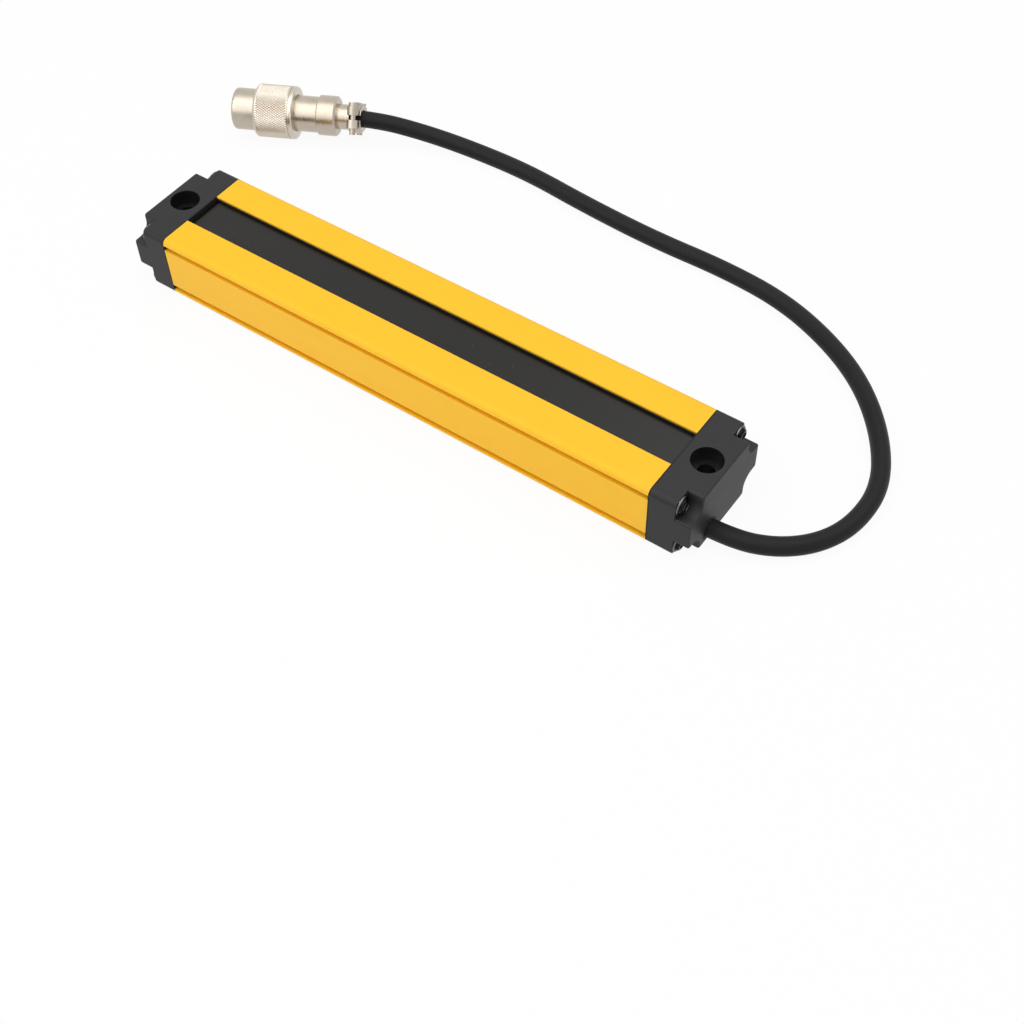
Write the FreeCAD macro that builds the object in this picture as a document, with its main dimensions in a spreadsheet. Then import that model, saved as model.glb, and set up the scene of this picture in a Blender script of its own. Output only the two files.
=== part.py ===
import FreeCAD, Part
import math
import os
import Sketcher
from FreeCAD import Placement, Rotation, Vector

# Safety light curtain, one unit: an aluminium bar with an optical window along its top,
# two moulded end caps and a lead that ends in a round screw-on plug.
# Frame: X along the bar towards the cable cap, Z up out of the window, origin at the
# middle of the bar's flat back. Millimetres.

DIMENSIONS = {
    # bar section
    "SectionWidth": 36.0,
    "SectionHeight": 22.0,
    "SectionCorner": 1.8,
    "HousingLength": 175.0,
    "WallThickness": 1.8,
    "SlotWidth": 1.8,
    "PortRadius": 1.35,
    "PortSide": 15.0,
    "PortInset": 2.95,
    "PortBoss": 3.0,
    "WindowHalfOpening": 6.7,
    "LipThickness": 0.6,
    # optical window and its seals
    "WindowWidth": 17.2,
    "WindowThickness": 2.0,
    "WindowLength": 174.0,
    "WindowShift": 0.5,
    "SealWidth": 2.15,
    "SealThickness": 0.9,
    # end caps
    "GasketThickness": 0.5,
    "SlabThickness": 8.0,
    "BlockThickness": 5.0,
    "BlockRounding": 0.5,
    "BlockHalfWidth": 12.0,
    "NotchHeight": 6.3,
    "NotchRadius": 3.7,
    "MountHoleOffset": 6.75,
    "MountHoleRadius": 2.65,
    "CounterboreRadius": 4.6,
    "CounterboreDepth": 5.0,
    "ScrewHoleRadius": 1.65,
    "SpigotLength": 3.5,
    # cap screws
    "ScrewHeadRadius": 2.85,
    "ScrewHeadHeight": 1.65,
    "ScrewShankRadius": 1.33,
    "ScrewLength": 14.0,
    "ScrewSocket": 2.0,
    # electronics
    "BoardLength": 168.0,
    "BoardWidth": 32.0,
    "BoardThickness": 1.6,
    "BoardHeight": 6.2,
    "BeamCount": 8,
    "BeamPitch": 20.0,
    "CarrierLength": 156.0,
    "CarrierWidth": 14.4,
    "CarrierHeight": 10.0,
    "LensRadius": 5.4,
    "LensRim": 1.2,
    "LensDome": 2.0,
    "DiodeRadius": 2.4,
    # cable
    "CableRadius": 2.8,
    "CableSide": -6.8,
    "CableHeight": 4.2,
    "GrommetRadius": 3.5,
    "GrommetLength": 5.5,
    "CoreRadius": 0.6,
    "CoreSpread": 0.8,
    "CorePassage": 2.2,
    # plug
    "PlugNoseX": -125.83,
    "PlugNoseY": 55.90,
    "PlugHeight": 8.95,
    "PlugTurn": 26.27,
    "CollarRadius": 6.95,
    "BarrelRadius": 6.0,
    "CollarLength": 10.0,
    "BarrelEnd": 29.6,
    "TailEnd": 33.0,
    "NutRadius": 8.95,
    "NutStart": 8.1,
    "NutLength": 14.0,
    "NutShoulder": 2.6,
    "NutThreadRadius": 7.9,
    "NutBoreRadius": 6.08,
    "BackShellRadius": 6.7,
    "BackShellEnd": 36.2,
    "BackShellWeb": 33.6,
    "NeckRadius": 4.2,
    "SheathEnd": 34.8,
    "ClampStart": 40.1,
    "ClampLength": 4.7,
    "ClampRadius": 5.2,
    "ClampGap": 1.6,
    "ClampTurn": -38.0,
    "EarReach": 7.3,
    "EarHeight": 3.6,
    "ClampScrewRadius": 0.98,
    "ClampHeadRadius": 1.7,
    "ClampHeadHeight": 1.3,
    "ClampScrewTip": -5.7,
    "CableStraight": 4.0,
    "InsertRadius": 5.75,
    "ContactCircle": 3.1,
    "ContactCount": 4,
}

# The lead's route from the cable cap to the plug, as the corners of its straight runs.
CABLE_ROUTE = [
    (95.5, -6.8, 4.2),
    (107.7, -6.8, 4.2),
    (119.2, -2.1, 3.5),
    (128.0, 6.7, 2.8),
    (132.7, 18.2, 2.8),
    (132.4, 33.6, 2.8),
    (124.2, 49.5, 2.8),
    (111.0, 64.4, 2.8),
    (94.7, 75.2, 2.8),
    (73.9, 83.2, 2.8),
    (51.0, 85.5, 2.8),
    (26.0, 85.0, 2.8),
    (-1.5, 86.8, 2.8),
    (-26.8, 89.7, 2.8),
    (-49.8, 89.1, 2.9),
    (-67.3, 85.1, 5.0),
]

doc = FreeCAD.newDocument("LightCurtain")
sheet = doc.addObject("Spreadsheet::Sheet", "Dims")
for row, (alias, number) in enumerate(DIMENSIONS.items(), start=1):
    sheet.set(f"A{row}", alias)
    sheet.set(f"B{row}", str(number))
    sheet.setAlias(f"B{row}", alias)
doc.recompute()

sub_parts = []


def dim(alias):
    """The number that a cell of the sheet holds."""
    return float(sheet.get(alias))


def new_body(label):
    """A PartDesign body that becomes one node."""
    body = doc.addObject("PartDesign::Body", label)
    body.Label = label
    sub_parts.append(body)
    return body


def origin_feature(body, role):
    """One of the body's own origin planes or axes."""
    return next(item for item in body.Origin.OriginFeatures if item.Role == role)


def new_sketch(body, role, name, offset=None):
    """A sketch on an origin plane, pushed along its normal by an expression."""
    sketch = body.newObject("Sketcher::SketchObject", name)
    sketch.AttachmentSupport = (origin_feature(body, role), [""])
    sketch.MapMode = "FlatFace"
    if offset is not None:
        sketch.setExpression("AttachmentOffset.Base.z", offset)
        doc.recompute()
    return sketch


def trace(sketch, start, steps):
    """Draws a closed outline: a step is a point, or an arc's middle point and end."""
    here = Vector(*start, 0)
    for step in steps:
        if isinstance(step[0], tuple):
            middle, end = Vector(*step[0], 0), Vector(*step[1], 0)
            sketch.addGeometry(Part.Arc(here, middle, end), False)
        else:
            end = Vector(*step, 0)
            sketch.addGeometry(Part.LineSegment(here, end), False)
        here = end


def add_circle(sketch, centre, radius_alias):
    """A circle whose radius is bound to a cell."""
    circle = Part.Circle(Vector(*centre, 0), Vector(0, 0, 1), dim(radius_alias))
    index = sketch.addGeometry(circle, False)
    rule = sketch.addConstraint(Sketcher.Constraint("Radius", index, dim(radius_alias)))
    sketch.setExpression(f"Constraints[{rule}]", f"Dims.{radius_alias}")
    return index


def pad(body, sketch, name, length, midplane=False, reverse=False):
    """A pad whose length is an expression."""
    feature = body.newObject("PartDesign::Pad", name)
    feature.Profile = sketch
    feature.setExpression("Length", length)
    feature.Midplane = midplane
    feature.Reversed = reverse
    doc.recompute()
    return feature


def pocket(body, sketch, name, length=None, reverse=False):
    """A pocket of stated depth, or through everything. It has to remove material."""
    before = body.Shape.Volume
    feature = body.newObject("PartDesign::Pocket", name)
    feature.Profile = sketch
    feature.Reversed = reverse
    if length is None:
        feature.Type = "ThroughAll"
    else:
        feature.setExpression("Length", length)
    doc.recompute()
    if body.Shape.Volume >= before - 1e-6:
        raise RuntimeError(f"{body.Label}.{name} cuts nothing")
    return feature


def revolve(body, sketch, name, axis):
    """A full turn of a sketch about one of its own axes."""
    feature = body.newObject("PartDesign::Revolution", name)
    feature.Profile = sketch
    feature.ReferenceAxis = (sketch, [axis])
    feature.Angle = 360.0
    doc.recompute()
    return feature


def feature_from_shape(label, shape):
    """A node whose shape Part's own functions make."""
    node = doc.addObject("Part::Feature", label)
    node.Label = label
    node.Shape = shape
    sub_parts.append(node)
    return node


def bound_box(label, length, width, height, place):
    """A Part::Box with its size and corner bound by expressions."""
    box = doc.addObject("Part::Box", label)
    box.Label = label
    for name, expression in zip(("Length", "Width", "Height"), (length, width, height)):
        box.setExpression(name, expression)
    for axis, expression in zip("xyz", place):
        box.setExpression(f"Placement.Base.{axis}", expression)
    return box


def mirrored_outline(half):
    """The half outline, which runs from top to bottom, and its mirror image back up."""
    path = []
    for step in half[1:]:
        path.append(step)
    points = [half[0]] + path
    for index in range(len(points) - 1, 0, -1):
        step = points[index]
        previous = points[index - 1]
        end = previous[1] if isinstance(previous[0], tuple) else previous
        if isinstance(step[0], tuple):
            path.append(((-step[0][0], step[0][1]), (-end[0], end[1])))
        else:
            path.append((-end[0], end[1]))
    return path


# --------------------------------------------------------------------------- the bar


def corner_middle(centre, radius, degrees):
    """The point of a round corner in the stated direction from its centre."""
    turn = math.radians(degrees)
    return (centre[0] + radius * math.cos(turn), centre[1] + radius * math.sin(turn))


def housing_half_outline():
    """Right half of the extrusion's section, from the bottom middle round to inside."""
    half = dim("SectionWidth") / 2
    top = dim("SectionHeight")
    corner = dim("SectionCorner")
    wall = dim("WallThickness")
    port_side = dim("PortSide")
    port_low = dim("PortInset")
    port_high = top - port_low
    port = dim("PortRadius")
    slot = dim("SlotWidth") / 2
    neck = port_side + math.sqrt(port ** 2 - slot ** 2)
    boss = dim("PortBoss")
    lip = dim("WindowHalfOpening")
    lip_under = top - dim("LipThickness")
    channel = dim("WindowWidth") / 2 + 0.3
    channel_floor = lip_under - dim("SealThickness") - dim("WindowThickness")
    ledge = channel - 1.3
    ledge_under = channel_floor - 1.0
    web = channel + 1.2
    inner = half - wall
    board = dim("BoardHeight")
    guide_under = board + dim("BoardThickness") + 0.15
    guide_top = guide_under + 0.9
    guide_tip = inner - 1.2
    toe = inner - 3.8
    toe_round = 2.0
    boss_start = port_side - math.sqrt(boss ** 2 - (top - wall - port_high) ** 2)
    boss_end = port_high - math.sqrt(boss ** 2 - (inner - port_side) ** 2)
    upper_corner = (half - corner, top - corner)
    lower_corner = (half - corner, corner)
    outside = [
        (0.0, 0.0),
        (half - corner, 0.0),
        (corner_middle(lower_corner, corner, -45), (half, corner)),
        (half, port_low - slot),
        (neck, port_low - slot),
        ((port_side - port, port_low), (neck, port_low + slot)),
        (half, port_low + slot),
        (half, port_high - slot),
        (neck, port_high - slot),
        ((port_side - port, port_high), (neck, port_high + slot)),
        (half, port_high + slot),
        (half, top - corner),
        (corner_middle(upper_corner, corner, 45), (half - corner, top)),
        (lip, top),
    ]
    inside = [
        (lip, lip_under),
        (channel, lip_under),
        (channel, channel_floor),
        (ledge, channel_floor),
        (ledge, ledge_under),
        (web, ledge_under),
        (web, top - wall),
        (boss_start, top - wall),
        (corner_middle((port_side, port_high), boss, 225), (inner, boss_end)),
        (inner, guide_top),
        (guide_tip, guide_top),
        (guide_tip, guide_under),
        (inner, guide_under),
        (inner, board),
        (toe + toe_round, board),
        (corner_middle((toe + toe_round, board - toe_round), toe_round, 135),
         (toe, board - toe_round)),
        (toe, wall),
        (0.0, wall),
    ]
    return outside + inside


def closed_section(half):
    """The half outline closed through its mirror image, as drawing steps."""
    steps = mirrored_outline(half)
    steps = [step for index, step in enumerate(steps) if not is_repeat(half, steps, index)]
    return steps


def end_of(step):
    return step[1] if isinstance(step[0], tuple) else step


def is_repeat(half, steps, index):
    """True where a step ends where it starts, as on the mirror line."""
    start = end_of(steps[index - 1]) if index else half[0]
    end = end_of(steps[index])
    return not isinstance(steps[index][0], tuple) and math.dist(start, end) < 1e-9


def make_housing():
    body = new_body("housing_profile")
    sketch = new_sketch(body, "YZ_Plane", "HousingSection")
    half = housing_half_outline()
    trace(sketch, half[0], closed_section(half))
    pad(body, sketch, "HousingLengthPad", "Dims.HousingLength", midplane=True)
    return body


def make_window():
    """The dark strip that the beams pass through. It lies on the channel's ledges."""
    body = new_body("front_window")
    sketch = new_sketch(body, "YZ_Plane", "WindowSection")
    half = dim("WindowWidth") / 2
    top = dim("SectionHeight") - dim("LipThickness") - dim("SealThickness")
    low = top - dim("WindowThickness")
    trace(sketch, (-half, low), [(half, low), (half, top), (-half, top), (-half, low)])
    pad(body, sketch, "WindowPad", "Dims.WindowLength", midplane=True)
    body.setExpression("Placement.Base.x", "Dims.WindowShift")
    return body


def make_window_seal(label, side):
    """A rubber strip between one lip and the window, its free edge a little round."""
    body = new_body(label)
    sketch = new_sketch(body, "YZ_Plane", label + "_section")
    inner = side * (dim("WindowHalfOpening") + 0.05)
    outer = inner + side * dim("SealWidth")
    top = dim("SectionHeight") - dim("LipThickness")
    low = top - dim("SealThickness")
    bulge = inner - side * 0.25
    middle = (low + top) / 2
    trace(sketch, (inner, low), [(outer, low), (outer, top), (inner, top),
                                 ((bulge, middle), (inner, low))])
    pad(body, sketch, label + "_pad", "Dims.HousingLength", midplane=True)
    return body


# ---------------------------------------------------------------------- the end caps


def section_steps():
    """The bar's outer rectangle with round corners, as drawing steps."""
    half = dim("SectionWidth") / 2
    top = dim("SectionHeight")
    corner = dim("SectionCorner")
    steps = [(half - corner, 0.0)]
    for centre, angle, end in (
        ((half - corner, corner), -45, (half, corner)),
        ((half - corner, top - corner), 45, (half - corner, top)),
        ((corner - half, top - corner), 135, (-half, top - corner)),
        ((corner - half, corner), 225, (corner - half, 0.0)),
    ):
        if math.dist(end_of(steps[-1]), corner_start(centre, corner, angle)) > 1e-9:
            steps.append(corner_start(centre, corner, angle))
        steps.append((corner_middle(centre, corner, angle), end))
    return (corner - half, 0.0), steps


def corner_start(centre, radius, middle_angle):
    return corner_middle(centre, radius, middle_angle - 45)


def block_steps():
    """The cap's outer block: full width at mid height, with a round notch per screw."""
    half = dim("SectionWidth") / 2
    top = dim("SectionHeight")
    width = dim("BlockHalfWidth")
    notch = dim("NotchHeight")
    radius = dim("NotchRadius")
    low_centre = (width + radius, notch - radius)
    high_centre = (width + radius, top - notch + radius)
    right = [
        (0.0, 0.0),
        (width, 0.0),
        (width, low_centre[1]),
        (corner_middle(low_centre, radius, 135), (low_centre[0], notch)),
        (half, notch),
        (half, top - notch),
        (high_centre[0], top - notch),
        (corner_middle(high_centre, radius, 225), (width, high_centre[1])),
        (width, top),
        (0.0, top),
    ]
    return right[0], closed_section(right)


def screw_places():
    """The four screw axes in the section, as Y and Z."""
    side = dim("PortSide")
    low = dim("PortInset")
    high = dim("SectionHeight") - low
    return [(-side, low), (side, low), (side, high), (-side, high)]


CAP_FACE = "Dims.HousingLength / 2 + Dims.GasketThickness"
SLAB_END = CAP_FACE + " + Dims.SlabThickness"
CAP_END = SLAB_END + " + Dims.BlockThickness"


def rectangle(sketch, low, high):
    trace(sketch, low, [(high[0], low[1]), high, (low[0], high[1]), low])


def make_cap_core(label):
    """What both caps share, drawn at the +X end."""
    body = new_body(label)
    slab = new_sketch(body, "YZ_Plane", label + "_slab_sketch", CAP_FACE)
    start, steps = section_steps()
    trace(slab, start, steps)
    pad(body, slab, label + "_slab", "Dims.SlabThickness")

    block = new_sketch(body, "YZ_Plane", label + "_block_sketch", SLAB_END)
    start, steps = block_steps()
    trace(block, start, steps)
    pad(body, block, label + "_block", "Dims.BlockThickness")

    spigot = new_sketch(body, "YZ_Plane", label + "_spigot_sketch", CAP_FACE)
    rectangle(spigot, (-15.6, 9.2), (15.6, 15.8))
    pad(body, spigot, label + "_spigot", "Dims.SpigotLength", reverse=True)
    hollow = new_sketch(body, "YZ_Plane", label + "_hollow_sketch",
                        CAP_FACE + " - Dims.SpigotLength")
    rectangle(hollow, (-14.2, 10.4), (14.2, 14.6))
    pocket(body, hollow, label + "_hollow", "Dims.SpigotLength", reverse=True)

    holes = new_sketch(body, "YZ_Plane", label + "_screw_sketch", SLAB_END)
    for place in screw_places():
        add_circle(holes, place, "ScrewHoleRadius")
    pocket(body, holes, label + "_screw_holes", "Dims.SlabThickness")

    axis = (dim("HousingLength") / 2 + dim("GasketThickness") + dim("MountHoleOffset"), 0.0)
    through = new_sketch(body, "XY_Plane", label + "_mount_sketch", "Dims.SectionHeight")
    add_circle(through, axis, "MountHoleRadius")
    pocket(body, through, label + "_mount_hole")
    bore = new_sketch(body, "XY_Plane", label + "_bore_sketch", "Dims.SectionHeight")
    add_circle(bore, axis, "CounterboreRadius")
    pocket(body, bore, label + "_counterbore", "Dims.CounterboreDepth")
    return body


def soften_block_edges(body):
    """A small rounding all round the outer face of the cap's block."""
    solid = body.Tip
    face_x = body.Shape.BoundBox.XMax
    names = [f"Edge{index}" for index, edge in enumerate(body.Shape.Edges, start=1)
             if edge.BoundBox.XMin > face_x - 1e-6]
    feature = body.newObject("PartDesign::Fillet", body.Label + "_face_rounding")
    feature.Base = (solid, names)
    feature.setExpression("Radius", "Dims.BlockRounding")
    doc.recompute()


def make_plain_cap():
    body = make_cap_core("plain_end_cap")
    soften_block_edges(body)
    body.Placement = Placement(Vector(0, 0, 0), Rotation(Vector(0, 0, 1), 180))
    return body


def make_cable_cap():
    """The cap that the lead leaves through, low down near its front corner."""
    body = make_cap_core("cable_end_cap")
    soften_block_edges(body)
    place = (dim("CableSide"), dim("CableHeight"))
    seat = new_sketch(body, "YZ_Plane", "grommet_seat_sketch", CAP_END)
    add_circle(seat, place, "GrommetRadius")
    pocket(body, seat, "grommet_seat", "Dims.GrommetLength")
    passage = new_sketch(body, "YZ_Plane", "core_passage_sketch", CAP_END)
    add_circle(passage, place, "CorePassage")
    pocket(body, passage, "core_passage", "Dims.SlabThickness + Dims.BlockThickness")
    return body


def make_gasket(label, end_x, with_core_hole):
    """The thin rubber sheet between the extrusion and a cap."""
    body = new_body(label)
    outline = new_sketch(body, "YZ_Plane", label + "_outline")
    start, steps = section_steps()
    trace(outline, start, steps)
    pad(body, outline, label + "_sheet", "Dims.GasketThickness")
    holes = new_sketch(body, "YZ_Plane", label + "_holes_sketch", "Dims.GasketThickness")
    rectangle(holes, (-15.8, 9.0), (15.8, 16.0))
    for place in screw_places():
        add_circle(holes, place, "ScrewHoleRadius")
    if with_core_hole:
        add_circle(holes, (dim("CableSide"), dim("CableHeight")), "CorePassage")
    pocket(body, holes, label + "_holes")
    body.setExpression("Placement.Base.x", end_x)
    return body


# ------------------------------------------------------------------------ cap screws


def screw_shape():
    """One button-head socket screw along X, its seat at the origin, its head at +X."""
    body = doc.addObject("PartDesign::Body", "CapScrewPattern")
    head = dim("ScrewHeadRadius")
    height = dim("ScrewHeadHeight")
    shank = dim("ScrewShankRadius")
    length = dim("ScrewLength")
    rim = 0.45
    shoulder = (1.25, 2.4)
    crown = 1.65
    point = 0.3
    sketch = new_sketch(body, "XY_Plane", "ScrewProfile")
    trace(sketch, (-length, 0.0), [
        (-length, shank - point), (point - length, shank), (0.0, shank), (0.0, head),
        (rim, head), shoulder, (height, crown), (height, 0.0), (-length, 0.0)])
    revolve(body, sketch, "ScrewTurned", "H_Axis")
    socket = new_sketch(body, "YZ_Plane", "SocketSketch", "Dims.ScrewHeadHeight")
    corner_radius = dim("ScrewSocket") / math.sqrt(3)
    corners = [corner_middle((0, 0), corner_radius, 60 * step) for step in range(7)]
    trace(socket, corners[0], corners[1:])
    pocket(body, socket, "HexSocket", "Dims.ScrewSocket / 2")
    return body.Shape.copy()


def make_cap_screws(label, pattern, end):
    """The four screws of one cap: end is 1 at the cable cap and -1 at the plain one."""
    seat = dim("HousingLength") / 2 + dim("GasketThickness") + dim("SlabThickness")
    turn = Rotation(Vector(0, 0, 1), 0 if end > 0 else 180)
    screws = []
    for side, height in screw_places():
        screw = pattern.copy()
        screw.Placement = Placement(Vector(end * seat, side, height), turn)
        screws.append(screw)
    return feature_from_shape(label, Part.makeCompound(screws))


# ----------------------------------------------------------------------- electronics


def make_board():
    box = bound_box("circuit_board", "Dims.BoardLength", "Dims.BoardWidth",
                    "Dims.BoardThickness",
                    ("-Dims.BoardLength / 2", "-Dims.BoardWidth / 2", "Dims.BoardHeight"))
    sub_parts.append(box)
    return box


def beam_places():
    """Where each beam leaves, along X."""
    count = int(dim("BeamCount"))
    first = -(count - 1) / 2 * dim("BeamPitch")
    return [first + index * dim("BeamPitch") for index in range(count)]


BOARD_TOP = "Dims.BoardHeight + Dims.BoardThickness"


def make_lens_carrier():
    """The black moulding that holds a lens over each diode, one stepped bore a beam."""
    body = new_body("lens_carrier")
    outline = new_sketch(body, "XY_Plane", "CarrierOutline", BOARD_TOP)
    length = dim("CarrierLength") / 2
    width = dim("CarrierWidth") / 2
    rectangle(outline, (-length, -width), (length, width))
    pad(body, outline, "CarrierPad", "Dims.CarrierHeight")
    top = BOARD_TOP + " + Dims.CarrierHeight"
    cut_row(body, "lens_seat", top, "LensRadius", "Dims.LensRim + Dims.LensDome")
    cut_row(body, "light_well", top, "DiodeRadius", None, 1.5)
    return body


def cut_row(body, name, plane, radius_alias, depth, grow=0.0):
    """One round pocket per beam: the first is drawn, the pattern repeats it."""
    sketch = new_sketch(body, "XY_Plane", name + "_sketch", plane)
    circle = Part.Circle(Vector(beam_places()[0], 0, 0), Vector(0, 0, 1),
                         dim(radius_alias) + grow)
    index = sketch.addGeometry(circle, False)
    rule = sketch.addConstraint(Sketcher.Constraint("Radius", index, circle.Radius))
    sketch.setExpression(f"Constraints[{rule}]", f"Dims.{radius_alias} + {grow}")
    cut = pocket(body, sketch, name, depth)
    pattern = body.newObject("PartDesign::LinearPattern", name + "_row")
    pattern.Originals = [cut]
    pattern.Direction = (origin_feature(body, "X_Axis"), [""])
    pattern.setExpression("Length", "(Dims.BeamCount - 1) * Dims.BeamPitch")
    pattern.setExpression("Occurrences", "Dims.BeamCount")
    body.Tip = pattern
    doc.recompute()


def make_lens(number, place):
    """A lens, flat below and domed above, on its seat in the carrier."""
    body = new_body(f"lens_{number}")
    sketch = new_sketch(body, "XZ_Plane", f"LensProfile{number}")
    radius = dim("LensRadius") - 0.1
    rim = dim("LensRim")
    dome = dim("LensDome")
    sphere = (radius ** 2 + dome ** 2) / (2 * dome)
    half_turn = math.asin(radius / sphere) / 2
    middle = (sphere * math.sin(half_turn), rim + dome - sphere * (1 - math.cos(half_turn)))
    trace(sketch, (0.0, 0.0), [(radius, 0.0), (radius, rim),
                               (middle, (0.0, rim + dome)), (0.0, 0.0)])
    revolve(body, sketch, f"LensTurned{number}", "V_Axis")
    seat = BOARD_TOP + " + Dims.CarrierHeight - Dims.LensRim - Dims.LensDome"
    body.setExpression("Placement.Base.x", f"{place}")
    body.setExpression("Placement.Base.z", seat)
    return body


def make_diode(number, place):
    """An infrared diode: a flange on the board and a round dome."""
    body = new_body(f"infrared_diode_{number}")
    sketch = new_sketch(body, "XZ_Plane", f"DiodeProfile{number}")
    flange = dim("DiodeRadius")
    stem = flange - 0.5
    rise = 2.2
    crown = corner_middle((0.0, rise), stem, 45)
    trace(sketch, (0.0, 0.0), [(flange, 0.0), (flange, 0.9), (stem, 0.9), (stem, rise),
                               (crown, (0.0, rise + stem)), (0.0, 0.0)])
    revolve(body, sketch, f"DiodeTurned{number}", "V_Axis")
    body.setExpression("Placement.Base.x", f"{place}")
    body.setExpression("Placement.Base.z", BOARD_TOP)
    return body


# Parts under the board: label, length, width, height, and the middle's X and Y.
UNDER_BOARD = [
    ("controller_chip", 10.0, 10.0, 1.5, 8.0, 0.0),
    ("beam_driver_chip_1", 10.0, 6.2, 1.6, -26.0, 3.0),
    ("beam_driver_chip_2", 10.0, 6.2, 1.6, 40.0, 3.0),
    ("voltage_regulator", 6.6, 6.2, 2.3, 62.0, 5.0),
    ("storage_capacitor", 7.3, 4.3, 2.9, 62.0, -6.0),
    ("output_transistor_1", 4.6, 2.6, 1.6, 50.0, -9.0),
    ("output_transistor_2", 4.6, 2.6, 1.6, 42.0, -9.0),
    ("wire_terminal", 8.0, 8.0, 4.0, 77.0, -6.8),
]

# Parts on the board's top at its cable end.
STATUS_LAMPS = [("power_lamp", 81.0, 3.5), ("signal_lamp", 81.0, -3.5)]


def make_board_parts():
    for label, length, width, height, x, y in UNDER_BOARD:
        box = bound_box(label, f"{length}", f"{width}", f"{height}",
                        (f"{x - length / 2}", f"{y - width / 2}",
                         f"Dims.BoardHeight - {height}"))
        sub_parts.append(box)
    for label, x, y in STATUS_LAMPS:
        length, width, height = 1.6, 3.2, 1.1
        box = bound_box(label, f"{length}", f"{width}", f"{height}",
                        (f"{x - length / 2}", f"{y - width / 2}", BOARD_TOP))
        sub_parts.append(box)


# ----------------------------------------------------------------- cable and its cores


def rounded_path(points, share=0.45):
    """Straight runs joined by tangent arcs, each as large as its two runs allow."""
    corners = [Vector(*point) for point in points]
    edges = []
    radii = []
    here = corners[0]
    for index in range(1, len(corners) - 1):
        before = corners[index - 1] - corners[index]
        after = corners[index + 1] - corners[index]
        reach = share * min(before.Length, after.Length)
        before.normalize()
        after.normalize()
        turn = math.pi - before.getAngle(after)
        radius = reach / math.tan(turn / 2)
        start = corners[index] + before * reach
        end = corners[index] + after * reach
        inward = before + after
        inward.normalize()
        centre = corners[index] + inward * (radius / math.cos(turn / 2))
        middle = centre - inward * radius
        edges.append(Part.LineSegment(here, start).toShape())
        edges.append(Part.Arc(start, middle, end).toShape())
        radii.append(radius)
        here = end
    edges.append(Part.LineSegment(here, corners[-1]).toShape())
    return Part.Wire(edges), radii


def tube(points, radius, label):
    """A round solid along a path. Its volume has to be its section times its length."""
    path, radii = rounded_path(points)
    start = Vector(*points[0])
    ahead = Vector(*points[1]) - start
    circle = Part.Wire([Part.Circle(start, ahead, radius).toShape()])
    solid = path.makePipeShell([circle], True, False)
    expected = math.pi * radius ** 2 * path.Length
    print(f"{label}: length {path.Length:.1f}, volume {solid.Volume:.1f} of {expected:.1f},"
          f" arc radii {[round(value, 1) for value in radii]}")
    if abs(solid.Volume - expected) > 0.01 * expected:
        raise RuntimeError(f"{label} has the wrong volume")
    return solid


def plug_point(along):
    """A point on the plug's axis, measured from its open end."""
    turn = math.radians(dim("PlugTurn"))
    return (dim("PlugNoseX") + along * math.cos(turn),
            dim("PlugNoseY") + along * math.sin(turn),
            dim("PlugHeight"))


def make_cable():
    last_bend = dim("ClampStart") + dim("ClampLength") + dim("CableStraight")
    route = CABLE_ROUTE + [plug_point(last_bend), plug_point(dim("SheathEnd"))]
    return feature_from_shape("signal_cable", tube(route, dim("CableRadius"), "cable"))


def make_cores():
    """The four insulated cores, fanned out from the sheath to the terminal."""
    sheath = CABLE_ROUTE[0][0]
    spread = dim("CoreSpread")
    terminal = 81.0
    starts = [(-spread, -spread), (-spread, spread), (spread, -spread), (spread, spread)]
    entries = [-2.85, -0.95, 0.95, 2.85]
    level = dim("CableHeight")
    for label, (side, rise), entry in zip(
            ("brown_core", "white_core", "blue_core", "black_core"), starts, entries):
        y = dim("CableSide") + side
        z = level + rise
        y_end = dim("CableSide") + entry
        route = [(sheath, y, z), (87.8, y, z), (83.6, y_end, level), (terminal, y_end, level)]
        feature_from_shape(label, tube(route, dim("CoreRadius"), label))


def make_grommet():
    """The rubber sleeve that holds the lead in its cap, flush with the outer face."""
    body = new_body("cable_grommet")
    sketch = new_sketch(body, "YZ_Plane", "GrommetSection",
                        CAP_END + " - Dims.GrommetLength")
    place = (dim("CableSide"), dim("CableHeight"))
    add_circle(sketch, place, "GrommetRadius")
    add_circle(sketch, place, "CableRadius")
    pad(body, sketch, "GrommetPad", "Dims.GrommetLength")
    return body


# --------------------------------------------------------------------------- the plug


def seat_on_plug(body, turn_about_axis=0.0):
    """Puts a body drawn along X from the plug's open end where the plug lies."""
    heading = Rotation(Vector(0, 0, 1), dim("PlugTurn"))
    roll = Rotation(Vector(1, 0, 0), turn_about_axis)
    body.Placement = Placement(Vector(*plug_point(0)), heading.multiply(roll))


def turned_piece(label, start, steps):
    """A turned part about the plug's axis: its half section in X and radius."""
    body = new_body(label)
    sketch = new_sketch(body, "XY_Plane", label + "_half_section")
    trace(sketch, start, steps)
    revolve(body, sketch, label + "_turned", "H_Axis")
    return body


TAIL_RADIUS = 5.4


def make_plug_shell():
    """The metal sleeve that enters the socket: collar, barrel and a threaded tail."""
    collar = dim("CollarRadius")
    barrel = dim("BarrelRadius")
    collar_end = dim("CollarLength")
    barrel_end = dim("BarrelEnd")
    tail_end = dim("TailEnd")
    bore = dim("InsertRadius")
    rounding = 1.0
    lead = 0.1
    tail = TAIL_RADIUS
    passage = 4.6
    insert_seat = 15.0
    nose = corner_middle((rounding, collar - rounding), rounding, 135)
    body = turned_piece("plug_shell", (0.0, bore + lead), [
        (0.0, collar - rounding), (nose, (rounding, collar)), (collar_end, collar),
        (collar_end, barrel), (barrel_end, barrel), (barrel_end, tail), (tail_end, tail),
        (tail_end, passage), (insert_seat, passage), (insert_seat, bore), (lead, bore),
        (0.0, bore + lead)])
    seat_on_plug(body, 90)
    return body


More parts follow.
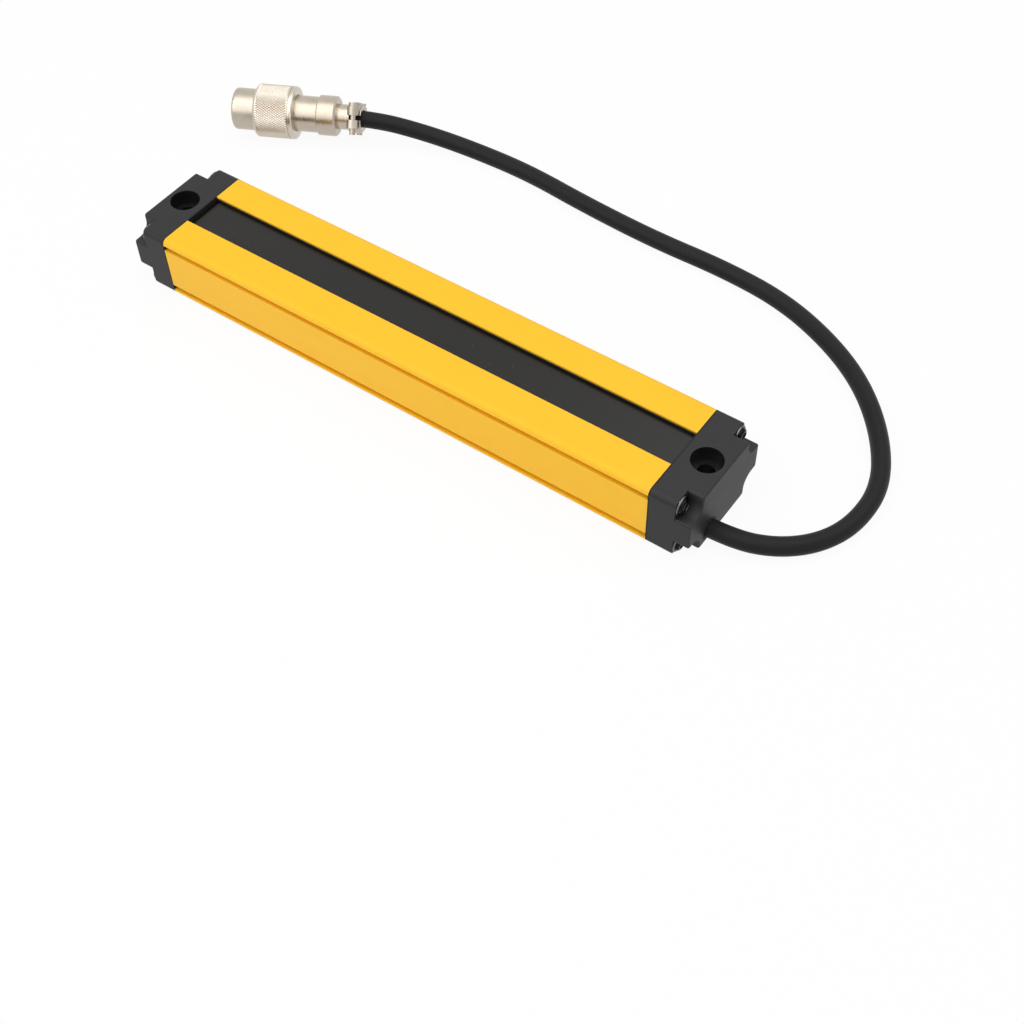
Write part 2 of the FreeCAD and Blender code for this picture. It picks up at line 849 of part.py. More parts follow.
def make_plug_insert():
    """The moulded disc that holds the contacts apart."""
    radius = dim("InsertRadius") - 0.05
    body = turned_piece("plug_insert", (1.2, 0.0), [
        (1.2, radius - 0.3), (1.5, radius), (14.9, radius), (14.9, 0.0), (1.2, 0.0)])
    holes = new_sketch(body, "YZ_Plane", "contact_holes_sketch", "1.2")
    for place in contact_places():
        circle = Part.Circle(Vector(*place, 0), Vector(0, 0, 1), CONTACT_OUTER + 0.03)
        holes.addGeometry(circle, False)
    pocket(body, holes, "contact_holes", reverse=True)
    seat_on_plug(body, 90)
    return body


CONTACT_OUTER = 1.15
CONTACT_BORE = 0.8


def contact_places():
    count = int(dim("ContactCount"))
    circle = dim("ContactCircle")
    return [corner_middle((0.0, 0.0), circle, 45 + 360 / count * index)
            for index in range(count)]


def make_contacts():
    """Turned sockets, drilled at the front and with an open solder cup behind."""
    for number, place in enumerate(contact_places(), start=1):
        body = new_body(f"contact_socket_{number}")
        sketch = new_sketch(body, "XY_Plane", f"ContactSection{number}")
        outer, bore = CONTACT_OUTER, CONTACT_BORE
        trace(sketch, (1.6, bore), [
            (1.6, outer), (18.5, outer), (18.5, bore), (15.5, bore), (15.5, 0.0),
            (8.6, 0.0), (8.6, bore), (1.6, bore)])
        revolve(body, sketch, f"ContactTurned{number}", "H_Axis")
        heading = Rotation(Vector(0, 0, 1), dim("PlugTurn"))
        roll = Rotation(Vector(1, 0, 0), 90)
        turn = heading.multiply(roll)
        offset = turn.multVec(Vector(0, *place))
        body.Placement = Placement(Vector(*plug_point(0)) + offset, turn)


def make_coupling_nut():
    """The nut that turns on the barrel, threaded in front, its shoulder at the back."""
    start = dim("NutStart")
    end = start + dim("NutLength")
    outer = dim("NutRadius")
    thread = dim("NutThreadRadius")
    bore = dim("NutBoreRadius")
    shoulder = end - dim("NutShoulder")
    lead = 0.5
    land = 1.2
    groove = 0.3
    shrink = 0.1
    round_start = 0.7
    body = turned_piece("coupling_nut", (start, thread + lead / 2), [
        (start, outer - lead), (start + lead, outer), (end - land - groove, outer),
        (end - land - groove, outer - groove), (end - land, outer - groove),
        (end - land, outer - shrink), (end - round_start, outer - shrink),
        (corner_middle((end - round_start, outer - shrink - round_start), round_start, 45),
         (end, outer - shrink - round_start)),
        (end, bore), (shoulder, bore), (shoulder, thread), (start + lead, thread),
        (start, thread + lead / 2)])
    seat_on_plug(body)
    return body


def half_space(keep_above):
    """A large block on one side of the clamp's split, less half of its gap."""
    gap = dim("ClampGap") / 2
    size = 40.0
    corner_z = gap if keep_above else -gap - size
    return Part.makeBox(size, size, size, Vector(dim("ClampStart") - size / 2,
                                                  -size / 2, corner_z))


EAR_WIDTH = 4.2


def clamp_ring():
    """The whole clamp before it is split: a barrel-shaped ring with two ears."""
    start = dim("ClampStart")
    length = dim("ClampLength")
    radius = dim("ClampRadius")
    reach = dim("EarReach")
    height = dim("EarHeight")
    end = start + length
    middle = start + length / 2
    edge_radius = radius - 0.6
    corners = [Vector(start, 0, 0), Vector(start, edge_radius, 0),
               Vector(end, edge_radius, 0), Vector(end, 0, 0)]
    edges = [Part.LineSegment(corners[0], corners[1]).toShape(),
             Part.Arc(corners[1], Vector(middle, radius, 0), corners[2]).toShape(),
             Part.LineSegment(corners[2], corners[3]).toShape(),
             Part.LineSegment(corners[3], corners[0]).toShape()]
    ring = Part.Face(Part.Wire(edges)).revolve(Vector(0, 0, 0), Vector(1, 0, 0), 360)
    centre = reach - EAR_WIDTH / 2
    ears = Part.makeBox(EAR_WIDTH, 2 * centre, 2 * height,
                        Vector(middle - EAR_WIDTH / 2, -centre, -height))
    solid = ring.fuse(ears)
    for side in (-1, 1):
        solid = solid.fuse(Part.makeCylinder(EAR_WIDTH / 2, 2 * height,
                                             Vector(middle, side * centre, -height)))
    bore = Part.makeCylinder(dim("CableRadius") + FIT, length + 2,
                             Vector(start - 1, 0, 0), Vector(1, 0, 0))
    return solid.cut(bore)


# Clearance between the lead and the metal that holds it, and round a screw's head.
FIT = 0.02
HEAD_CLEARANCE = 0.1


def clamp_screw_places():
    """The two clamp screws, as X along the plug and Y across it."""
    middle = dim("ClampStart") + dim("ClampLength") / 2
    side = dim("EarReach") - EAR_WIDTH / 2
    return [(middle, -side), (middle, side)]


def upright_cylinders(radius, low, high):
    """A cylinder on each clamp screw's axis."""
    pair = [Part.makeCylinder(radius, high - low, Vector(x, y, low))
            for x, y in clamp_screw_places()]
    return pair[0].fuse(pair[1])


def plug_placement(turn_about_axis):
    heading = Rotation(Vector(0, 0, 1), dim("PlugTurn"))
    roll = Rotation(Vector(1, 0, 0), turn_about_axis)
    return Placement(Vector(*plug_point(0)), heading.multiply(roll))


def make_back_shell():
    """The cover that screws on behind, in one with the clamp's fixed half."""
    start = dim("BarrelEnd")
    radius = dim("BackShellRadius")
    end = dim("BackShellEnd")
    web = dim("BackShellWeb")
    neck = dim("NeckRadius")
    neck_end = dim("ClampStart") + 0.5
    sheath = dim("SheathEnd")
    seat = dim("CableRadius") + FIT
    core_hole = 2.2
    inner = TAIL_RADIUS + 0.05
    front_edge = 0.3
    back_edge = 0.6
    half_section = [
        (start, inner), (start, radius - front_edge), (start + front_edge, radius),
        (end - back_edge, radius), (end, radius - back_edge), (end, neck), (neck_end, neck),
        (neck_end, seat), (sheath, seat), (sheath, core_hole), (web, core_hole),
        (web, inner)]
    points = [Vector(x, y, 0) for x, y in half_section + half_section[:1]]
    face = Part.Face(Part.makePolygon(points))
    cover = face.revolve(Vector(0, 0, 0), Vector(1, 0, 0), 360)
    fixed_half = clamp_ring().common(half_space(False))
    tapped = upright_cylinders(dim("ClampScrewRadius") + FIT, -20.0, 20.0)
    shape = cover.fuse(fixed_half.cut(tapped)).removeSplitter()
    node = feature_from_shape("back_shell", shape)
    node.Placement = plug_placement(dim("ClampTurn"))
    return node


def make_clamp_bar():
    """The loose half of the clamp, clear of the neck and of the screws."""
    head = dim("ClampHeadRadius") + HEAD_CLEARANCE
    seat = dim("EarHeight")
    shape = clamp_ring().common(half_space(True))
    shape = shape.cut(upright_cylinders(dim("ClampScrewRadius") + 0.2, 0.0, seat))
    shape = shape.cut(upright_cylinders(head, seat, 2 * seat))
    neck = Part.makeCylinder(dim("NeckRadius") + HEAD_CLEARANCE, 0.6,
                             Vector(dim("ClampStart"), 0, 0), Vector(1, 0, 0))
    node = feature_from_shape("clamp_bar", shape.cut(neck))
    node.Placement = plug_placement(dim("ClampTurn"))
    return node


def make_clamp_screws():
    """Two cheese-head screws with a slot. Their ends stand out below the fixed half."""
    seat = dim("EarHeight")
    tip = dim("ClampScrewTip")
    shank_radius = dim("ClampScrewRadius")
    head_radius = dim("ClampHeadRadius")
    head_height = dim("ClampHeadHeight")
    slot_width = 0.5
    slot_depth = 0.6
    screws = []
    for x, y in clamp_screw_places():
        shank = Part.makeCylinder(shank_radius, seat - tip, Vector(x, y, tip))
        head = Part.makeCylinder(head_radius, head_height, Vector(x, y, seat))
        slot = Part.makeBox(2 * head_radius + 1, slot_width, slot_depth,
                            Vector(x - head_radius - 0.5, y - slot_width / 2,
                                   seat + head_height - slot_depth))
        screws.append(shank.fuse(head).cut(slot).removeSplitter())
    node = feature_from_shape("clamp_screws", Part.makeCompound(screws))
    node.Placement = plug_placement(dim("ClampTurn"))
    return node


# --------------------------------------------------------------------------- assembly


def build():
    make_housing()
    make_window()
    make_window_seal("window_seal_rear", 1)
    make_window_seal("window_seal_front", -1)
    make_plain_cap()
    make_cable_cap()
    make_gasket("plain_cap_gasket", "-Dims.HousingLength / 2 - Dims.GasketThickness", False)
    make_gasket("cable_cap_gasket", "Dims.HousingLength / 2", True)
    pattern = screw_shape()
    make_cap_screws("plain_cap_screws", pattern, -1)
    make_cap_screws("cable_cap_screws", pattern, 1)
    make_board()
    make_lens_carrier()
    for number, place in enumerate(beam_places(), start=1):
        make_lens(number, place)
        make_diode(number, place)
    make_board_parts()
    make_cores()
    make_grommet()
    make_cable()
    make_plug_shell()
    make_plug_insert()
    make_contacts()
    make_coupling_nut()
    make_back_shell()
    make_clamp_bar()
    make_clamp_screws()


def check_document():
    """Stops if any object failed or any sub-part has no valid solid."""
    for item in doc.Objects:
        if "Invalid" in item.State or "Error" in item.State:
            raise RuntimeError(f"{item.Label} failed: {item.State}")
    for part in sub_parts:
        shape = part.Shape
        if shape.isNull() or not shape.isValid() or not shape.Solids:
            raise RuntimeError(f"{part.Label} has no valid solid")


def write_parts():
    os.makedirs("parts", exist_ok=True)
    for part in sub_parts:
        part.Shape.exportStep(f"parts/{part.Label}.step")
        box = part.Shape.BoundBox
        print(f"{part.Label:22s} solids {len(part.Shape.Solids)} volume "
              f"{part.Shape.Volume:9.1f}  X {box.XMin:8.2f} {box.XMax:8.2f}"
              f"  Y {box.YMin:7.2f} {box.YMax:7.2f}  Z {box.ZMin:6.2f} {box.ZMax:6.2f}")


build()
doc.recompute()
check_document()
write_parts()
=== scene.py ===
# %% [markdown]
# # A safety light curtain, dressed in Blender
# The object is one unit of a light curtain: a yellow aluminium bar with a dark optical
# window, two black end caps, and a lead that ends in a round metal plug. Its solids come
# from the CAD frame, and this lesson gives them their finishes and their finer pieces.

import math

import bpy
from mathutils import Matrix, Vector


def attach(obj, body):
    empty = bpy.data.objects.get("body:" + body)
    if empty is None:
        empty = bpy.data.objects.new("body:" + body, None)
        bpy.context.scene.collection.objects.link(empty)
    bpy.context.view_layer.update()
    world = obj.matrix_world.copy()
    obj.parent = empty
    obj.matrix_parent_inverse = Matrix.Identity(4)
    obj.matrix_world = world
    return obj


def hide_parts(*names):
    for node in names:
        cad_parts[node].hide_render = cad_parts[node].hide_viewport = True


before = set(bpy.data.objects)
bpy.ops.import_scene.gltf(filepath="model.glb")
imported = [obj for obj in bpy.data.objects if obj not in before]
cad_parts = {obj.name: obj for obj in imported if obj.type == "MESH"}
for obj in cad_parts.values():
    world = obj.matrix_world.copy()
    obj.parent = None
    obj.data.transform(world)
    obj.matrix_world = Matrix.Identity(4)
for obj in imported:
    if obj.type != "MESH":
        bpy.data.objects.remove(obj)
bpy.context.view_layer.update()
MM = 0.001

# %% [markdown]
# ## The camera
# A long, low object shows most of itself from above one of its ends, through a lens a
# little longer than normal, so that its parallel edges come together only slightly. The
# camera could be turned by three angles, but a place, an aim and a roll about its own line
# of sight are easier to read and to change. The roll is small: the camera isn't quite level.

# %% Camera
camera_data = bpy.data.cameras.new("studio_camera")
camera_data.sensor_width = 36.0
camera_data.lens = 54.72
camera_data.clip_start = 0.01
camera_data.clip_end = 10.0
camera = bpy.data.objects.new("studio_camera", camera_data)
bpy.context.scene.collection.objects.link(camera)
camera_place = Vector((214.51, -245.92, 339.52)) * MM
camera_target = Vector((56.68, -36.96, 11.0)) * MM
CAMERA_ROLL = math.radians(-2.13)
aim = (camera_target - camera_place).to_track_quat("-Z", "Y").to_matrix().to_4x4()
roll = Matrix.Rotation(CAMERA_ROLL, 4, "Z")
camera.matrix_world = Matrix.Translation(camera_place) @ aim @ roll
bpy.context.scene.camera = camera
print("Camera distance", round((camera_target - camera_place).length, 3), "m")

# %% [markdown]
# ## The cable
# The lead leaves the bar near its foot, runs round behind it on the table and rises into
# the plug. A cable has a fixed length and bends in long, smooth curves. A NURBS curve of
# order 3 does just that: it starts and ends on its first and last control points and rounds
# every corner between them. The order is set after the points, because a spline with too
# few points falls back to straight runs. A round bevel gives the curve its thickness: each
# control point's own radius times the bevel depth. The depth is left at 1 and the points
# carry the cable's radius, because Blender also measures a curve's box with that radius.

# %% Where the plug lies
PLUG_NOSE = Vector((-125.83, 55.90, 8.95)) * MM
PLUG_TURN = math.radians(26.27)
PLUG_AXIS = Vector((math.cos(PLUG_TURN), math.sin(PLUG_TURN), 0.0))


def plug_point(along_mm):
    """A point on the plug's axis, that far behind its open end."""
    return PLUG_NOSE + PLUG_AXIS * along_mm * MM


print("Plug axis", [round(value, 3) for value in PLUG_AXIS])

# %% Cable
CABLE_RADIUS = 2.8 * MM
LEAD_EXIT = (95.5, -6.8, 4.2)
cable_route = [
    LEAD_EXIT, (107.7, -6.8, 4.2), (119.2, -2.1, 3.5), (128.0, 6.7, 2.8),
    (132.7, 18.2, 2.8), (132.4, 33.6, 2.8), (124.2, 49.5, 2.8), (111.0, 64.4, 2.8),
    (94.7, 75.2, 2.8), (73.9, 83.2, 2.8), (51.0, 85.5, 2.8), (26.0, 85.0, 2.8),
    (-1.5, 86.8, 2.8), (-26.8, 89.7, 2.8), (-49.8, 89.1, 2.9), (-67.3, 85.1, 5.0),
]
cable_points = [Vector(point) * MM for point in cable_route]
cable_points += [plug_point(48.8), plug_point(34.8)]

curve = bpy.data.curves.new("cable", "CURVE")
curve.dimensions = "3D"
spline = curve.splines.new("NURBS")
spline.points.add(len(cable_points) - 1)
for control, place in zip(spline.points, cable_points):
    control.co = (*place, 1.0)
    control.radius = CABLE_RADIUS
spline.order_u = 3
spline.use_endpoint_u = True
spline.resolution_u = 16
curve.bevel_depth = 1.0
curve.bevel_resolution = 8
curve.use_fill_caps = True
cable = bpy.data.objects.new("cable", curve)
bpy.context.scene.collection.objects.link(cable)
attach(cable, "root")
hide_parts("signal_cable")
print("Cable control points", len(cable_points))

# %% [markdown]
# ## Working by hand, in code
# The pieces below are modelled with the same operators as by hand. An operator acts on all
# that is selected, and a freshly loaded frame leaves its solids selected, so each step
# starts by picking its own piece. A finished piece keeps its place in its mesh: whatever
# moved its object is applied.

# %% Picking and placing
def only(piece):
    """Makes one object active and alone in the selection."""
    bpy.ops.object.select_all(action="DESELECT")
    piece.select_set(True)
    bpy.context.view_layer.objects.active = piece


def settle():
    """Moves the place of the selected objects into their meshes."""
    bpy.ops.object.transform_apply(location=True, rotation=True, scale=True)


def pointing(direction):
    """The turn that points the Z axis along a direction."""
    return Vector(direction).to_track_quat("Z", "Y").to_matrix().to_4x4()


# %% A lathe
def lathe(name, stations, segments):
    """Turns a half section, given as (along, radius) in mm, about the Z axis."""
    bpy.ops.object.select_all(action="DESELECT")
    along, radius = stations[0]
    bpy.ops.mesh.primitive_circle_add(vertices=segments, radius=radius * MM,
                                      location=(0.0, 0.0, 0.0))
    turned = bpy.context.object
    turned.name = name
    bpy.ops.object.mode_set(mode="EDIT")
    bpy.ops.mesh.select_all(action="SELECT")
    bpy.ops.transform.translate(value=(0.0, 0.0, along * MM))
    for next_along, next_radius in stations[1:]:
        bpy.ops.mesh.extrude_region_move(
            TRANSFORM_OT_translate={"value": (0.0, 0.0, (next_along - along) * MM)})
        if next_radius != radius:
            ratio = next_radius / radius
            bpy.ops.transform.resize(value=(ratio, ratio, 1.0))
        along, radius = next_along, next_radius
    bpy.ops.object.mode_set(mode="OBJECT")
    return turned


# %% [markdown]
# ## The coupling nut's knurl
# The coupling nut screws the plug to its panel socket, and its knurl gives the fingers a
# grip. The nut is turned on a lathe, so its mesh is lathed too: one ring of vertices is
# extruded from station to station and resized to each radius. A bump map could draw the
# knurl, but its outline would stay smooth, so it is real geometry. In its rows every second
# vertex is pressed in, like a chequerboard, and each four-sided face is then cut along its
# shorter diagonal. That diagonal joins the two low corners, so every high vertex becomes
# the tip of a small pyramid.

# %% The nut's half section
NUT_START, NUT_END = 8.1, 21.8
NUT_RADIUS = 8.88
NUT_TEETH = 69
KNURL_ROWS = 18
KNURL_DEPTH = 0.22
THREAD_RINGS, THREAD_SPACING = 22, 0.5
THREAD_ROOT, THREAD_CREST = 7.9, 7.6
SHOULDER, SHOULDER_BORE = 2.6, 6.08

front_rim = [(NUT_START, 8.15), (NUT_START, 8.3), (NUT_START + 0.15, 8.48)]
knurl_start = NUT_START + 0.7
row_height = (NUT_END - 1.7 - knurl_start) / KNURL_ROWS
knurl = [(knurl_start + row_height * row, NUT_RADIUS) for row in range(KNURL_ROWS + 1)]
rear_rim = [(NUT_END - 1.6, 8.62), (NUT_END - 1.3, 8.62), (NUT_END - 1.2, 8.83),
            (NUT_END - 0.75, 8.83), (NUT_END - 0.45, 8.77), (NUT_END - 0.2, 8.6),
            (NUT_END - 0.05, 8.38), (NUT_END, 8.12), (NUT_END, 6.2),
            (NUT_END - 0.12, SHOULDER_BORE), (NUT_END - SHOULDER, SHOULDER_BORE)]
thread = [(NUT_END - SHOULDER - THREAD_SPACING * step, THREAD_CREST if step % 2 else THREAD_ROOT)
          for step in range(THREAD_RINGS)]
profile = front_rim + knurl + rear_rim + thread + [front_rim[0]]
print("Stations of the nut", len(profile))

# %% Knurled nut
ring = 2 * NUT_TEETH
nut = lathe("knurled_nut", profile, ring)
bpy.ops.object.mode_set(mode="EDIT")
bpy.ops.mesh.select_all(action="DESELECT")
bpy.ops.object.mode_set(mode="OBJECT")
for row in range(1, KNURL_ROWS):
    for column in range(ring):
        vertex = nut.data.vertices[(len(front_rim) + row) * ring + column]
        vertex.select = (row + column) % 2 == 0
bpy.ops.object.mode_set(mode="EDIT")
pressed = 1.0 - KNURL_DEPTH / NUT_RADIUS
bpy.ops.transform.resize(value=(pressed, pressed, 1.0))
bpy.ops.mesh.select_all(action="SELECT")
bpy.ops.mesh.remove_doubles(threshold=0.002 * MM)
bpy.ops.mesh.normals_make_consistent(inside=False)
bpy.ops.mesh.quads_convert_to_tris(quad_method="SHORTEST_DIAGONAL")
bpy.ops.object.mode_set(mode="OBJECT")
print("Nut triangles", len(nut.data.polygons))

# %% Nut on the plug
nut.matrix_world = Matrix.Translation(PLUG_NOSE) @ pointing(PLUG_AXIS)
only(nut)
settle()
bpy.ops.object.shade_smooth_by_angle(angle=math.radians(14.0))
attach(nut, "coupling_nut")
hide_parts("coupling_nut")
print("Nut length", round(NUT_END - NUT_START, 2), "mm")

# %% [markdown]
# ## The moulded end caps
# An end cap is one moulding: a slab with the bar's own section, and a block in front of it
# that is cut away round each screw. A mould leaves no sharp edge, and it is the small round
# edge that catches the light. The CAD mesh is loose triangles, which bevel badly, so the
# cap is modelled again from boxes and rods with Boolean modifiers. Each edge is rounded
# while it is still long and clean: first the notches' inner corners, then the block's long
# corners, then its face, and last the rims that the drilled holes leave.

# %% Boxes and rods
def box(low, high):
    """A box between two corners in mm."""
    bpy.ops.object.select_all(action="DESELECT")
    bpy.ops.mesh.primitive_cube_add(size=MM)
    made = bpy.context.object
    bpy.ops.object.mode_set(mode="EDIT")
    bpy.ops.transform.resize(value=[top - bottom for bottom, top in zip(low, high)])
    bpy.ops.transform.translate(value=[(top + bottom) / 2 * MM for bottom, top in zip(low, high)])
    bpy.ops.object.mode_set(mode="OBJECT")
    return made


def rod(start, end, radius, segments=64):
    """A round rod between two points in mm."""
    start, end = Vector(start) * MM, Vector(end) * MM
    bpy.ops.object.select_all(action="DESELECT")
    bpy.ops.mesh.primitive_cylinder_add(vertices=segments, radius=radius * MM,
                                        depth=(end - start).length)
    made = bpy.context.object
    made.matrix_world = Matrix.Translation((start + end) / 2) @ pointing(end - start)
    settle()
    return made


# %% Cutting and adding
def combine(piece, tool, operation):
    """Adds a tool to a piece, or cuts it away, and deletes the tool."""
    only(piece)
    cut = piece.modifiers.new("cut", "BOOLEAN")
    cut.operation = operation
    cut.object = tool
    cut.solver = "EXACT"
    bpy.ops.object.modifier_apply(modifier=cut.name)
    bpy.data.objects.remove(tool)


def merge_flats(piece):
    """Merges doubles and makes each flat face one face."""
    only(piece)
    bpy.ops.object.mode_set(mode="EDIT")
    bpy.ops.mesh.select_all(action="SELECT")
    bpy.ops.mesh.remove_doubles(threshold=0.001 * MM)
    bpy.ops.mesh.dissolve_limited(angle_limit=math.radians(0.4))
    bpy.ops.object.mode_set(mode="OBJECT")


# %% Rounding chosen edges
def bevel_edges(piece, wanted, width_mm, segments):
    """Bevels only the edges for which wanted(one end, other end), in mm, is true."""
    only(piece)
    mesh = piece.data
    bpy.ops.object.mode_set(mode="EDIT")
    bpy.ops.mesh.select_mode(type="EDGE")
    bpy.ops.mesh.select_all(action="DESELECT")
    bpy.ops.object.mode_set(mode="OBJECT")
    found = 0
    for edge in mesh.edges:
        edge.select = wanted(*[mesh.vertices[index].co / MM for index in edge.vertices])
        found += edge.select
    bpy.ops.object.mode_set(mode="EDIT")
    bpy.ops.mesh.bevel(offset=width_mm * MM, segments=segments, affect="EDGES")
    bpy.ops.mesh.select_mode(type="VERT")
    bpy.ops.object.mode_set(mode="OBJECT")
    return found


# %% Taking a solid's place
def stand_in(piece, node_name):
    """Evens a piece's normals and puts it in the place of a CAD node."""
    only(piece)
    bpy.ops.object.shade_smooth_by_angle(angle=math.radians(35.0))
    normals = piece.modifiers.new("even_normals", "WEIGHTED_NORMAL")
    normals.keep_sharp = True
    bpy.ops.object.modifier_apply(modifier=normals.name)
    piece.name = node_name + "_soft"
    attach(piece, "root")
    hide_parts(node_name)
    print(piece.name, "faces", len(piece.data.polygons))


# %% Sizes of a cap
HALF_WIDTH, HEIGHT = 18.0, 22.0
SLAB_FACE, SLAB_END, CAP_END = 88.0, 96.0, 101.0
SLAB_ROUNDING = 1.8
BLOCK_HALF = 12.0
NOTCH, NOTCH_RADIUS = 6.3, 3.7
HOLE_X, HOLE_RADIUS = 94.75, 2.65
BORE_RADIUS, BORE_DEPTH = 4.6, 5.0
SCREW_SIDE, SCREW_LOW, SCREW_HOLE = 15.0, 2.95, 1.65
SCREW_LEVELS = (SCREW_LOW, HEIGHT - SCREW_LOW)
LEAD_Y, LEAD_Z = LEAD_EXIT[1:]
LEAD_HOLE, LEAD_PASSAGE = 3.5, 2.2
NEAR = 0.01
print("Length of the bar", 2 * CAP_END, "mm")


# %% Which edges are rounded
def along_x(one, other):
    return abs(one.y - other.y) < NEAR and abs(one.z - other.z) < NEAR


def block_corner(one, other):
    """The eight convex corners of the block that run along X."""
    inner = abs(abs(one.y) - BLOCK_HALF) < NEAR and (one.z < NEAR or one.z > HEIGHT - NEAR)
    return along_x(one, other) and (inner or abs(abs(one.y) - HALF_WIDTH) < NEAR)


def block_face(one, other):
    """The rim of the block's outer face."""
    return min(one.x, other.x) > CAP_END - NEAR


def slab_face(one, other):
    """The rim of the slab's outer face."""
    return min(one.x, other.x) > SLAB_END - NEAR


def hole_rim(one, other):
    """The circle where the counterbore meets the top."""
    from_axis = [math.hypot(abs(end.x) - HOLE_X, end.y) for end in (one, other)]
    return min(one.z, other.z) > HEIGHT - NEAR and max(from_axis) < BORE_RADIUS + 0.1


def cable_rim(one, other):
    """The circle where the lead's hole meets the cap's face."""
    from_axis = [math.hypot(end.y - LEAD_Y, end.z - LEAD_Z) for end in (one, other)]
    return min(one.x, other.x) > CAP_END - NEAR and max(from_axis) < LEAD_HOLE + 0.1


# %% Block in front of the slab
def notch_tool(side, upper):
    """The round-cornered box that frees one screw's head."""
    inner_z = HEIGHT - NOTCH if upper else NOTCH
    bottom, top = (inner_z, HEIGHT + 3.0) if upper else (-3.0, inner_z)
    left, right = sorted((side * BLOCK_HALF, side * (HALF_WIDTH + 3.0)))
    tool = box((SLAB_END - 1.0, left, bottom), (CAP_END + 3.0, right, top))

    def inner_corner(one, other):
        return (along_x(one, other) and abs(one.y - side * BLOCK_HALF) < NEAR
                and abs(one.z - inner_z) < NEAR)

    bevel_edges(tool, inner_corner, NOTCH_RADIUS, 10)
    return tool


def model_block():
    """The block with its four notches. Its back reaches a little into the slab."""
    block = box((SLAB_END - 0.3, -HALF_WIDTH, 0.0), (CAP_END, HALF_WIDTH, HEIGHT))
    for side in (-1, 1):
        for upper in (False, True):
            combine(block, notch_tool(side, upper), "DIFFERENCE")
    merge_flats(block)
    print("block corners", bevel_edges(block, block_corner, 0.8, 3),
          "face edges", bevel_edges(block, block_face, 0.5, 3))
    return block


# %% Whole cap
def model_cap():
    """The moulding at the cable end, without the lead's hole."""
    block = model_block()
    cap = box((SLAB_FACE, -HALF_WIDTH, 0.0), (SLAB_END, HALF_WIDTH, HEIGHT))
    bevel_edges(cap, along_x, SLAB_ROUNDING, 6)
    bevel_edges(cap, slab_face, 0.25, 2)
    combine(cap, block, "UNION")
    spigot = box((SLAB_FACE - 3.5, -15.6, 9.2), (SLAB_FACE + 0.5, 15.6, 15.8))
    combine(cap, spigot, "UNION")
    over_hole = (HOLE_X, 0, HEIGHT + 1)
    combine(cap, rod((HOLE_X, 0, -1), over_hole, HOLE_RADIUS), "DIFFERENCE")
    combine(cap, rod((HOLE_X, 0, HEIGHT - BORE_DEPTH), over_hole, BORE_RADIUS), "DIFFERENCE")
    for side in (-SCREW_SIDE, SCREW_SIDE):
        for level in SCREW_LEVELS:
            hole = rod((SLAB_FACE - 1, side, level), (SLAB_END + 0.2, side, level),
                       SCREW_HOLE, 24)
            combine(cap, hole, "DIFFERENCE")
    return cap


# %% The two caps
cable_cap = model_cap()
lead_hole = rod(LEAD_EXIT, (CAP_END + 1, LEAD_Y, LEAD_Z), LEAD_HOLE)
combine(cable_cap, lead_hole, "DIFFERENCE")
passage = rod((SLAB_FACE - 1, LEAD_Y, LEAD_Z), (CAP_END, LEAD_Y, LEAD_Z), LEAD_PASSAGE)
combine(cable_cap, passage, "DIFFERENCE")
plain_cap = model_cap()
plain_cap.matrix_world = Matrix.Rotation(math.pi, 4, "Z")
only(plain_cap)
settle()
soft_caps = [cable_cap, plain_cap]
for cap, node_name in zip(soft_caps, ("cable_end_cap", "plain_end_cap")):
    merge_flats(cap)
    print("hole rim", bevel_edges(cap, hole_rim, 0.25, 2))
    if cap is cable_cap:
        print("lead rim", bevel_edges(cap, cable_rim, 0.15, 2))
    stand_in(cap, node_name)

# %% [markdown]
# ## The cap screws
# Four screws hold each cap to the bar. They are small, but their turned rims are what
# glitters on the black caps. One screw is lathed: a flanged button head with a rounded rim,
# a shallow ring and a domed crown. A six-sided rod cuts its socket. The other seven are
# copies of its mesh, each turned a little, as a fitter leaves them, and four are joined for
# each cap.

# %% Pattern screw
SHANK_RADIUS, SHANK_LENGTH = 1.33, 13.7
SOCKET_RADIUS, SOCKET_FLOOR = 1.155, 0.35
head = [(0.0, SHANK_RADIUS), (0.0, 2.72), (0.06, 2.81), (0.16, 2.84), (0.36, 2.84),
        (0.46, 2.80), (0.52, 2.70), (0.54, 2.52), (0.50, 2.42), (0.54, 2.34), (0.80, 2.26),
        (1.08, 2.12), (1.30, 1.93), (1.46, 1.70), (1.55, 1.45), (1.57, 1.32), (1.52, 1.26),
        (0.9, 1.2)]
pattern_screw = lathe("screw", [(-SHANK_LENGTH, SHANK_RADIUS)] + head, 48)
only(pattern_screw)
bpy.ops.object.mode_set(mode="EDIT")
bpy.ops.mesh.select_all(action="DESELECT")
bpy.ops.mesh.select_non_manifold()
bpy.ops.mesh.edge_face_add()
bpy.ops.mesh.select_all(action="SELECT")
bpy.ops.mesh.fill_holes(sides=0)
bpy.ops.mesh.normals_make_consistent(inside=False)
bpy.ops.object.mode_set(mode="OBJECT")
combine(pattern_screw, rod((0, 0, SOCKET_FLOOR), (0, 0, 3.0), SOCKET_RADIUS, 6), "DIFFERENCE")
print("Faces of one screw", len(pattern_screw.data.polygons))

